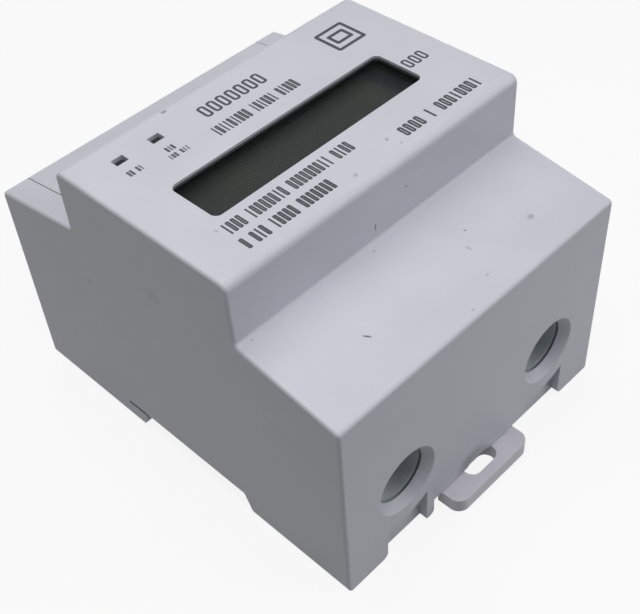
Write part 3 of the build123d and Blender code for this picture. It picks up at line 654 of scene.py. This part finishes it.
@dataclass(frozen=True)
class SmokedPane:
    """Clear plastic pane or light pipe, slightly smoked, with faint moulding waves."""

    name: str
    colour: Colour
    roughness: float = 0.12
    skin: float = 0.12
    specular: float = 0.5
    skin_colour: Colour = srgb(26, 28, 26)
    wave_size: float = 7 * MM
    wave_depth: float = 0.02 * MM
    smear_size: float = 3 * MM
    smear_stretch: Point = (1, 3, 1)
    smear_roughness: float = 0.18
    smear_skin: float = 0.05

    def material(self) -> bpy.types.Material:
        """Builds the material.

        Returns:
            A thin tinted film over what lies below it, mixed with a share of glossy skin that grows and
            gets rougher in smears.
        """
        shader = Shader(self.name)
        waves = shader.noise(self.wave_size)
        smear = shader.noise(self.smear_size, 4.0, self.smear_stretch).fade(0.45, 0.8)
        through = shader.node("ShaderNodeBsdfTransparent", values={"Color": opaque(self.colour)})
        gloss = shader.node("ShaderNodeBsdfPrincipled", values={
            "Base Color": opaque(self.skin_colour),
            "Roughness": self.roughness + smear * self.smear_roughness,
            "Specular IOR Level": self.specular,
            "Normal": shader.bump(waves, self.wave_depth)})
        return shader.close(shader.blend(self.skin + smear * self.smear_skin, through, gloss))


@dataclass(frozen=True)
class DisplayGlass:
    """Unlit liquid-crystal glass: dark greenish grey, with painted reflections of the pane: a bluish band
    along its right-hand end and a darker far left corner.

    The band's start and its full colour are measured from that end.
    """

    reflection_band_start: float = 5.2 * MM
    reflection_band_full: float = 3.2 * MM
    reflection_band_colour: Colour = srgb(75, 77, 88)
    cool: Colour = srgb(95, 98, 99)
    warm: Colour = srgb(99, 98, 93)
    drift_size: float = 30 * MM
    reflection_corner_reach: float = 16 * MM
    reflection_corner_core: float = 2 * MM
    reflection_corner_strength: float = 0.6
    reflection_corner_colour: Colour = srgb(59, 61, 65)
    grain: float = 0.3 * MM
    roughness: float = 0.36
    depth: float = 0.002 * MM
    ior: float = 1.5

    def material(self) -> bpy.types.Material:
        """Builds the material.

        Returns:
            Glass whose colour drifts with a broad noise and darkens towards its right-hand end and its far
            left corner; the darkening is painted reflection of the pane.
        """
        shader = Shader("display_glass")
        low, high = (Vector(corner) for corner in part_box("lcd_panel"))
        drift = shader.noise(self.drift_size, 1.0)
        fine = shader.noise(self.grain)
        tint = shader.mix(drift.fade(0.35, 0.65), self.cool, self.warm)
        # painted reflection: bluish band at the right-hand end
        reflection_band = shader.x.fade(high.x - self.reflection_band_start, high.x - self.reflection_band_full)
        tint = shader.mix(reflection_band, tint, self.reflection_band_colour)
        # painted reflection: darker towards the far left corner
        corner = shader.distance((low.x, high.y, high.z)).fade(self.reflection_corner_reach, self.reflection_corner_core)
        tint = shader.mix(corner * self.reflection_corner_strength, tint, self.reflection_corner_colour)
        sheen = self.roughness + (fine - 0.5) * 0.08
        return shader.surface({"Base Color": tint, "Roughness": sheen, "IOR": self.ior}, fine, self.depth)


@dataclass(frozen=True)
class Resin:
    """Tinted clear resin of a lamp."""

    name: str
    colour: Colour
    cloud: float = 1.1 * MM
    deep: float = 0.5
    roughness: float = 0.12
    coat: float = 0.6

    def material(self) -> bpy.types.Material:
        """Builds the material.

        Returns:
            Coloured resin, deeper and less smooth where a soft noise is high.
        """
        shader = Shader(self.name)
        clouds = shader.noise(self.cloud)
        tint = shader.mix(clouds.fade(0.3, 0.7), self.colour, scaled(self.colour, self.deep))
        return shader.surface({
            "Base Color": tint, "Roughness": self.roughness + clouds * 0.1, "Coat Weight": self.coat})


def make_piece(name: str, vertices: np.ndarray, faces: Faces, material: bpy.types.Material,
               smooth: bool = True) -> bpy.types.Object:
    """Puts points and faces into a mesh object at the origin.

    Args:
        name: the piece's name.
        vertices: points as rows, in metres.
        faces: point numbers, three or four to a face.
        material: the piece's finish.
        smooth: whether the faces are shaded smoothly.

    Returns:
        The new object.
    """
    mesh = bpy.data.meshes.new(name)
    mesh.from_pydata(vertices.tolist(), [], faces)
    mesh.update()
    mesh.polygons.foreach_set("use_smooth", np.full(len(mesh.polygons), smooth))
    mesh.materials.append(material)
    piece = bpy.data.objects.new(name, mesh)
    bpy.context.scene.collection.objects.link(piece)
    return piece


def ring_faces(rows: int, columns: int) -> Faces:
    """Quads between rings of points numbered ring by ring.

    Args:
        rows: number of rings.
        columns: points in each ring, the last of which joins the first.

    Returns:
        Four point numbers a face: each point with its next neighbours along the skin and round it.
    """
    ring, place = np.meshgrid(np.arange(rows - 1), np.arange(columns), indexing="ij")
    here = (ring * columns + place).ravel()
    following = (ring * columns + (place + 1) % columns).ravel()
    return np.stack([here, here + columns, following + columns, following], axis=1).tolist()


def closed_skin(rings: np.ndarray) -> tuple[np.ndarray, Faces]:
    """Joins rings of points into a skin, closed by a flat fan at each end.

    Args:
        rings: points by ring and by place in the ring; seen from where the rings end, each runs clockwise.

    Returns:
        Vertices, the last two being the middles of the end rings, and faces that point outwards.
    """
    count, sides = rings.shape[:2]
    points = np.concatenate([rings.reshape(-1, 3), rings[:1].mean(axis=1), rings[-1:].mean(axis=1)])
    around = np.arange(sides)
    following = (around + 1) % sides
    middle, last = count * sides, (count - 1) * sides
    first_fan = np.stack([np.full(sides, middle), around, following], axis=1)
    last_fan = np.stack([np.full(sides, middle + 1), last + following, last + around], axis=1)
    return points, ring_faces(count, sides) + first_fan.tolist() + last_fan.tolist()


def tube_surface(path: np.ndarray, radius: float, sides: int) -> tuple[np.ndarray, Faces]:
    """A round tube along a path, closed by a flat fan at each end.

    Args:
        path: points of the centre line as rows.
        radius: the tube's radius.
        sides: points round the tube.

    Returns:
        Vertices and faces: each ring is the path's point plus the radius times the cosine and sine of an
        angle along two directions square to the path, found from Z, or from X where the path is upright.
    """
    tangent = np.gradient(path, axis=0)
    tangent /= np.linalg.norm(tangent, axis=1, keepdims=True)
    steep = np.abs(tangent[:, 2:3]) >= 0.9
    lean = np.where(steep, np.array([[1.0, 0.0, 0.0]]), np.array([[0.0, 0.0, 1.0]]))
    across = np.cross(tangent, lean)
    across /= np.linalg.norm(across, axis=1, keepdims=True)
    upward = np.cross(across, tangent)
    angle = np.linspace(0, 2 * math.pi, sides, endpoint=False)
    ring = across[:, None] * np.cos(angle)[None, :, None] + upward[:, None] * np.sin(angle)[None, :, None]
    return closed_skin(path[:, None] + ring * radius)


def dress(node: str, material: bpy.types.Material) -> None:
    """Gives a CAD node's object its finish.

    Args:
        node: the node's name.
        material: the finish.
    """
    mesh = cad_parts[node].data
    mesh.materials.clear()
    mesh.materials.append(material)
    log.info("%s is dressed in %s", node, material.name)


def fit_on(piece: bpy.types.Object, body: str) -> None:
    """Lets a new piece ride on a body.

    Args:
        piece: the piece.
        body: the body's name.
    """
    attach(piece, body)
    log.info("%s rides on %s", piece.name, body)


@dataclass
class Enclosure:
    """Housing, base and terminal cover."""

    marks: tuple[Mark, ...] = (
        Mark((-13.4, 20.6, 64.4), 0.55, 0.6, (0.6, 1, 1)),
        Mark((7.0, -16.6, 64.5), 0.4, 0.4, (0.5, 1, 1), -40.0),
        Mark((-3.9, -19.2, 64.5), 0.5, 0.32, (0.6, 1, 1), -30.0),
        Mark((8.0, -19.2, 64.5), 0.35, 0.4),
        Mark((-29.3, -11.6, 64.5), 0.28, 0.4, (1, 0.5, 1), -30.0),
        # painted shade: a soft dark patch on the front wall above the clip's slot, standing for the shadow in
        # the shallow scoop there
        Mark((-2.3, -46.0, 5.6), 3.6, 0.42, (0.7, 1, 1)),
        Mark((-2.8, -22.5, 53.8), 0.22, 0.9, (1, 0.2, 0.2)),
        Mark((5.4, -22.5, 57.9), 0.32, 0.4, (0.7, 0.3, 1)),
        Mark((-19.75, -35.9, 48.6), 0.24, 0.95, (1, 0.2, 1), -38.0),
        Mark((10.8, -31.9, 49.2), 0.32, 0.75),
        Mark((8.0, -35.1, 48.7), 0.5, 0.25, (1, 0.6, 1)),
        Mark((22.5, -38.0, 48.2), 0.7, 0.35, (0.7, 1, 1)),
        Mark((5.7, -41.3, 47.7), 0.4, 0.3),
        Mark((-2.2, -44.4, 47.2), 0.35, 0.3),
        Mark((-5.1, -24.2, 50.5), 0.3, 0.4),
        Mark((-34.2, -23.4, 50.6), 0.25, 0.5),
        Mark((-37.5, -1.0, 48.5), 2.4, 0.07),
        Mark((-37.5, 20.5, 38.5), 1.2, 0.12),
        # painted highlight: a thin near-white line along the seam on the left end
        Mark((-37.5, -30.0, 38.4), 0.5, 0.12, (1, 0.034, 1), 0.0, srgb(250, 250, 252)),
    )
    print_lines: tuple[PrintLine, ...] = (
        PrintLine(-9.5, 12.8, 3.8, 2.28, (7,), 0.56),
        PrintLine(-11.6, 6.9, 3.1, 0.95, (9, 6, 5), 0.36),
        PrintLine(-28.4, -14.2, 3.1, 1.08, (4, 8, 9, 4), 0.4),
        PrintLine(-28.7, -19.0, 3.1, 1.1, (1, 3, 5, 7), 0.42),
        PrintLine(10.0, -18.9, 3.0, 1.43, (4, 1, 8), 0.5),
        PrintLine(26.1, -5.5, 3.1, 2.0, (3,), 0.5),
        PrintLine(-29.6, 10.3, 1.7, 0.66, (2, 2), 0.24),
        PrintLine(-20.8, 10.5, 1.6, 0.68, (3,), 0.26),
        PrintLine(-21.8, 8.4, 1.4, 0.66, (3, 3), 0.24),
        PrintLine(20.9, 8.9, 7.6, 9.8, (1,), 0.8, 0.15, 0.0),
        PrintLine(22.9, 10.9, 3.6, 5.8, (1,), 0.8, 0.2, 0.0),
    )

    def build(self) -> None:
        """Dresses the three mouldings in the same grained plastic, the housing with its marks, print and
        painted shade and highlights.
        """
        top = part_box("housing")[1][2]
        markings_and_painted_light = TopMarkingsAndPaintedLight(self.marks, self.print_lines, PaneShadeAndHighlight(), top)
        dress("housing", MouldedPlastic(Moulding.SHELL, markings_and_painted_light).material())
        plain = MouldedPlastic(Moulding.SHELL).material()
        for node in ("base", "terminal_cover"):
            dress(node, plain)


@dataclass
class RailClip:
    """Sliding clip and its spring; the end advance is that of one flat end turn, in wire radii."""

    turns: float = 7.0
    wire: float = 0.22 * MM
    sides: int = 10
    points_per_turn: int = 20
    end_turns: float = 0.75
    end_advance: float = 2.2

    def build(self) -> None:
        """Dresses the clip and winds the spring."""
        dress("din_clip", MouldedPlastic(Moulding.CLIP).material())
        self.spring()

    def spring(self) -> None:
        """Winds the spring inside its solid's box.

        The wire's centre turns about the spring's axis while it advances by a fixed pitch, apart from the
        flat turns at both ends, where it advances by little more than the wire's thickness. The whole coil
        rides on the meter's body.
        """
        low, high = (np.array(corner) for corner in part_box("clip_spring"))
        centre = (low + high) / 2
        radius = (high[2] - low[2]) / 2 - self.wire
        count = int(self.turns * self.points_per_turn)
        turn = np.linspace(0, self.turns, count)
        started = np.clip(turn / self.end_turns, 0, 1)
        left = np.clip((self.turns - turn) / self.end_turns, 0, 1)
        middle = np.clip((turn - self.end_turns) / (self.turns - 2 * self.end_turns), 0, 1)
        flat = self.end_advance * self.wire * self.end_turns
        length = high[1] - low[1] - 2 * self.wire
        along = (started - left + 1) * flat + middle * (length - 2 * flat)
        angle = 2 * math.pi * turn
        path = np.stack([centre[0] + radius * np.cos(angle), low[1] + self.wire + along,
                         centre[2] + radius * np.sin(angle)], axis=1)
        vertices, faces = tube_surface(path, self.wire, self.sides)
        coil = make_piece("clip_spring_coil", vertices, faces, MetalSurface(Metal.SPRING).material())
        fit_on(coil, "meter")
        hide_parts("clip_spring")
        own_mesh(coil)


@dataclass
class CableWays:
    """Insulating tubes and the current transformers round them."""

    def build(self) -> None:
        """Dresses the tubes and the transformers."""
        tube = MouldedPlastic(Moulding.TUBE).material()
        case = MouldedPlastic(Moulding.COIL_CASE).material()
        for side in ("left", "right"):
            dress(f"cable_tube_{side}", tube)
            dress(f"current_transformer_{side}", case)


@dataclass
class Terminals:
    """Terminal block with its brass and screws."""

    def build(self) -> None:
        """Dresses the block, the brass and every screw."""
        block = MouldedPlastic(Moulding.BLOCK).material()
        brass = MetalSurface(Metal.BRASS).material()
        zinc = MetalSurface(Metal.ZINC).material()
        for node, material in (
                ("terminal_block", block), ("tap_plate_left", brass), ("tap_plate_right", brass),
                ("neutral_clamp", brass), ("tap_screws", zinc), ("neutral_screw", zinc),
                ("case_screws", zinc), ("board_screws", zinc)):
            dress(node, material)


@dataclass
class DisplayWindow:
    """Pane, liquid-crystal glass, its frame and light guide, and the indicators."""

    lens_half_length: float = 1.22 * MM
    lens_half_width: float = 0.92 * MM
    lens_height: float = 0.45 * MM
    lens_edge: float = 0.18 * MM
    lens_crown: float = 0.06 * MM
    lens_gap: float = 0.004 * MM
    lens_power: float = 5.0
    lens_points: int = 48
    edge_rings: int = 6
    crown_insets: tuple[float, ...] = (0.35 * MM, 0.6 * MM, 0.85 * MM)

    def build(self) -> None:
        """Dresses the display's pieces and both indicators."""
        pane = SmokedPane("window_pane_plastic", srgb(230, 232, 232)).material()
        pipe = SmokedPane(
            "light_pipe_plastic", srgb(60, 62, 64), 0.4, 0.7, 0.15, srgb(58, 58, 66)).material()
        dress("window_pane", pane)
        dress("lcd_panel", DisplayGlass().material())
        dress("lcd_frame", MouldedPlastic(Moulding.BLOCK).material())
        dress("lcd_backlight", MouldedPlastic(Moulding.LIGHT_GUIDE).material())
        for name, colour in (("pulse", srgb(190, 34, 28)), ("comms", srgb(40, 120, 60))):
            dress(f"{name}_light_pipe", pipe)
            dress(f"{name}_led", Resin(f"{name}_resin", colour).material())
            self.lens(name, pipe)

    def lens(self, name: str, material: bpy.types.Material) -> None:
        """Puts a raised, rounded end on a light pipe.

        Each ring is a superellipse, |x/a|^5 + |y/b|^5 = 1. The rings climb the skirt, turn inwards through
        a quarter of a circle and close over a crown that falls with the square of the ring's share.

        Args:
            name: the indicator's name.
            material: the light pipe's finish.
        """
        low, high = (np.array(corner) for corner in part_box(f"{name}_light_pipe"))
        centre = (low + high) / 2
        quarter = np.linspace(0, math.pi / 2, self.edge_rings)
        share = np.linspace(1, 0, len(self.crown_insets) + 1)[1:]
        inward = np.concatenate([[0], self.lens_edge * (1 - np.cos(quarter)), self.crown_insets])
        rise = np.concatenate([[0], self.lens_height - self.lens_edge * (1 - np.sin(quarter)),
                               self.lens_height + self.lens_crown * (1 - share ** 2)])
        angle = np.linspace(0, 2 * math.pi, self.lens_points, endpoint=False)
        wave = np.stack([np.cos(angle), -np.sin(angle)])
        outline = np.sign(wave) * np.abs(wave) ** (2 / self.lens_power)
        rings = np.empty((len(rise), len(angle), 3))
        rings[..., 0] = centre[0] + (self.lens_half_length - inward)[:, None] * outline[0]
        rings[..., 1] = centre[1] + (self.lens_half_width - inward)[:, None] * outline[1]
        rings[..., 2] = high[2] + self.lens_gap + rise[:, None]
        fit_on(make_piece(f"{name}_pipe_lens", *closed_skin(rings), material), "meter")


@dataclass
class Electronics:
    """Boards and the parts on them."""

    def build(self) -> None:
        """Dresses the boards and their parts."""
        laminate = CircuitBoard("board_laminate").material()
        chip = MouldedPlastic(Moulding.CHIP).material()
        for node, material in (
                ("main_board", laminate), ("display_board", laminate), ("metering_chip", chip),
                ("controller_chip", chip), ("pin_header", MouldedPlastic(Moulding.BLOCK).material()),
                ("filter_capacitor", MouldedPlastic(Moulding.FILM_CASE).material()),
                ("surge_varistor", MouldedPlastic(Moulding.COATING).material()),
                ("supply_transformer", MouldedPlastic(Moulding.FERRITE).material()),
                ("bulk_capacitors", MetalSurface(Metal.CAN).material()),
                ("clock_crystal", MetalSurface(Metal.BRIGHT_CAN).material())):
            dress(node, material)


@dataclass(frozen=True)
class Lamp:
    """One square softbox that shines at a point; places and size in metres, power in watts."""

    name: str
    place: Point
    size: float
    power: float
    colour: Colour = WHITE
    target: Point = (0.0, 0.0, 0.03)

    def build(self) -> None:
        """Adds the lamp, turned so that its -Z axis meets the target."""
        data = bpy.data.lights.new(self.name, "AREA")
        data.shape = "SQUARE"
        data.size = self.size
        data.energy = self.power
        data.color = self.colour
        lamp = bpy.data.objects.new(self.name, data)
        lamp.location = self.place
        lamp.rotation_euler = (Vector(self.target) - Vector(self.place)).to_track_quat("-Z", "Y").to_euler()
        bpy.context.scene.collection.objects.link(lamp)


@dataclass
class Studio:
    """Camera, lamps, pale floor and white surroundings.

    The camera's place and sensor are in millimetres, all other lengths in metres. The camera sees the floor
    as a share of plain white, and for the rest as paper, on which the meter's shadow shows.
    """

    focal_pixels: float = 1140.8
    image_width: float = 640.0
    sensor: float = 36.0
    nearest: float = 0.01
    farthest: float = 20.0
    camera_place: Point = (-112.7, -126.5, 188.8)
    forward: Point = (0.4722, 0.5165, -0.7144)
    right: Point = (0.6965, -0.7153, -0.0568)
    world_level: float = 0.01
    floor_half: float = 3.0
    floor_drop: float = 0.2 * MM
    floor_cloud: float = 0.4
    floor_white: float = 0.88
    paper: Colour = (0.95, 0.95, 0.95)
    lamps: tuple[Lamp, ...] = (
        Lamp("near_softbox", (-0.10, -0.06, 0.38), 0.15, 0.46),
        Lamp("rear_softbox", (0.05, 0.22, 0.70), 0.40, 1.58),
        Lamp("front_softbox", (0.35, -0.50, 0.60), 0.30, 0.88, (0.92, 0.93, 1.0)),
        Lamp("right_softbox", (0.60, -0.45, 0.30), 0.30, 1.13),
    )

    def build(self) -> None:
        """Sets up everything round the meter."""
        self.camera()
        self.floor()
        self.world()
        for lamp in self.lamps:
            lamp.build()
        bpy.context.scene.view_settings.view_transform = "Standard"

    def camera(self) -> None:
        """Places the camera by its forward and right directions; its back is minus forward."""
        data = bpy.data.cameras.new("camera")
        data.sensor_fit = "HORIZONTAL"
        data.sensor_width = self.sensor
        data.lens = self.focal_pixels / self.image_width * self.sensor
        data.clip_start = self.nearest
        data.clip_end = self.farthest
        forward = Vector(self.forward).normalized()
        right = Vector(self.right)
        right = (right - forward * right.dot(forward)).normalized()
        up = right.cross(forward)
        turn = Matrix((right, up, -forward)).transposed().to_4x4()
        camera = bpy.data.objects.new("camera", data)
        camera.matrix_world = Matrix.Translation(Vector(self.camera_place) * MM) @ turn
        bpy.context.scene.collection.objects.link(camera)
        bpy.context.scene.camera = camera

    def floor(self) -> None:
        """Lays a wide pale floor just under the feet.

        The camera, reflections and clear parts see it white but for the meter's shadow, and the light that
        bounces off it is that of a matt grey.
        """
        half, level = self.floor_half, -self.floor_drop
        corners = np.array([
            (-half, -half, level), (half, -half, level), (half, half, level), (-half, half, level)])
        shader = Shader("floor")
        shade = shader.noise(self.floor_cloud).fade(0.3, 0.7)
        tint = shader.mix(shade, srgb(176, 176, 178), srgb(180, 180, 180))
        matt = shader.node("ShaderNodeBsdfDiffuse", values={"Color": tint})
        paper = shader.node("ShaderNodeBsdfDiffuse", values={"Color": opaque(self.paper)})
        white = shader.node("ShaderNodeEmission", values={"Color": opaque(WHITE), "Strength": 1.0})
        shown = shader.blend(self.floor_white, paper, white)
        material = shader.close(shader.blend(shader.seen_rays(), matt, shown))
        make_piece("floor", corners, [[0, 1, 2, 3]], material, smooth=False)

    def world(self) -> None:
        """White to the camera, in reflections and through clear parts, and nearly dark elsewhere."""
        world = bpy.data.worlds.new("surroundings")
        world.use_nodes = True
        bpy.context.scene.world = world
        graph = NodeGraph(world.node_tree)
        background = graph.tree.nodes["Background"]
        background.inputs["Color"].default_value = opaque(WHITE)
        strength = graph.seen_rays() * (1 - self.world_level) + self.world_level
        graph.tree.links.new(strength.socket, background.inputs["Strength"])


def main() -> None:
    """Builds the sub-assemblies and the studio."""
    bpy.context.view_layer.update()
    for assembly in (
            Enclosure(), RailClip(), CableWays(), Terminals(), DisplayWindow(), Electronics(), Studio()):
        assembly.build()
        log.info("%s is done", type(assembly).__name__)


if __name__ == "__main__":
    main()
